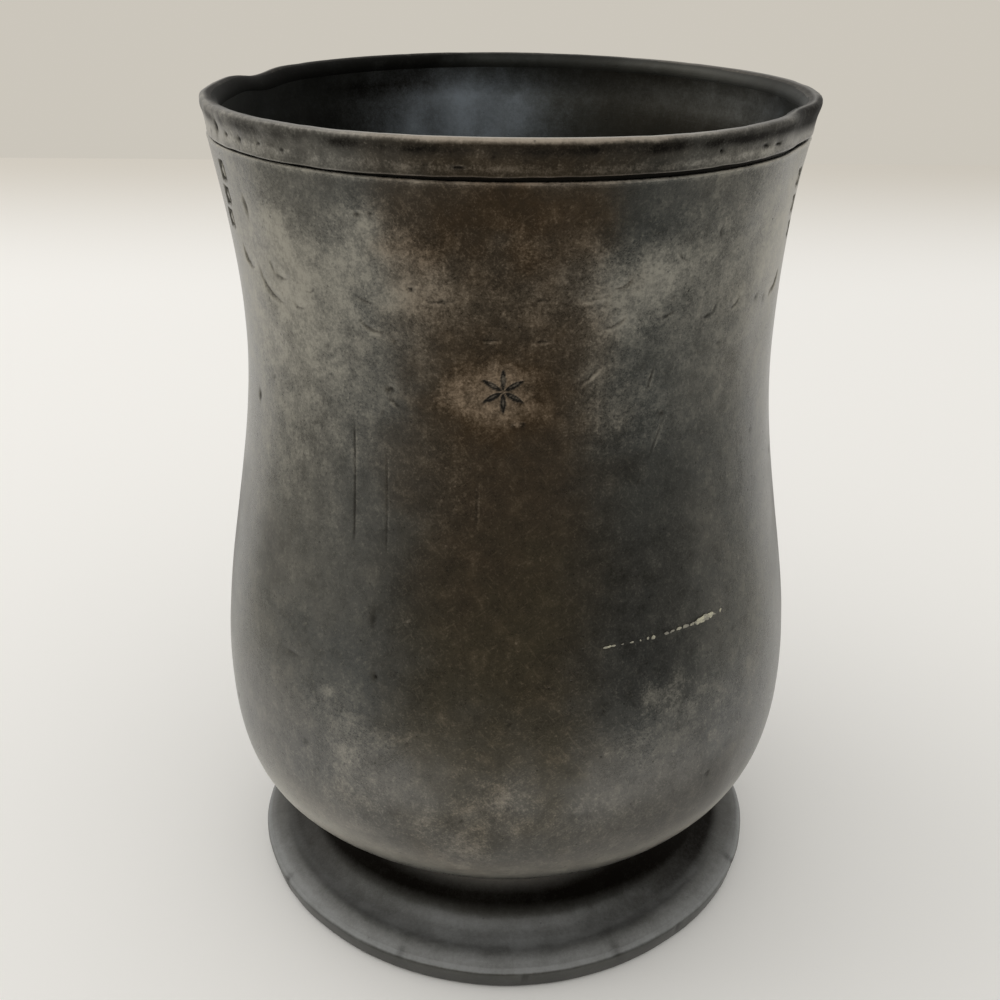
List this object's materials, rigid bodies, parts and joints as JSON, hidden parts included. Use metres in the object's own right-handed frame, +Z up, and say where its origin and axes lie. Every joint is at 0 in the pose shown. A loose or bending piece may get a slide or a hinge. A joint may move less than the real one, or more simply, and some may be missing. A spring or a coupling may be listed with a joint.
{
  "type": "pewter mug",
  "caption": "Bulbous pewter tavern mug with a waisted neck, a proud lip band, a moulded spreading foot and a hollow S-scroll handle.",
  "frame": {"origin": "on the table, under the middle of the box round the mug and its handle; the body's axis is vertical at y = -16.6 mm", "axes": "+Z up, +Y towards the handle, -Y the front that the picture shows, +X to the right of that view"},
  "size_m": [0.0914, 0.1246, 0.127],
  "materials": {
    "aged_pewter": "satin, dark and mottled with age",
    "worn_pewter": "satin, worn bright on the edges",
    "dark_pewter": "satin, tarnished nearly black",
    "solder": "dull soft solder"
  },
  "bodies": {
    "root": {"lip_band": "worn_pewter", "lip_solder": "solder", "upper_body": "aged_pewter", "seam_solder": "solder", "lower_body": "aged_pewter", "base_plate": "dark_pewter", "base_solder": "solder", "foot_ring": "dark_pewter", "foot_solder": "solder", "handle_grip": "aged_pewter", "handle_strut": "aged_pewter", "handle_terminal": "worn_pewter", "handle_top_solder": "solder", "handle_strut_solder": "solder"}
  },
  "joints": []
}
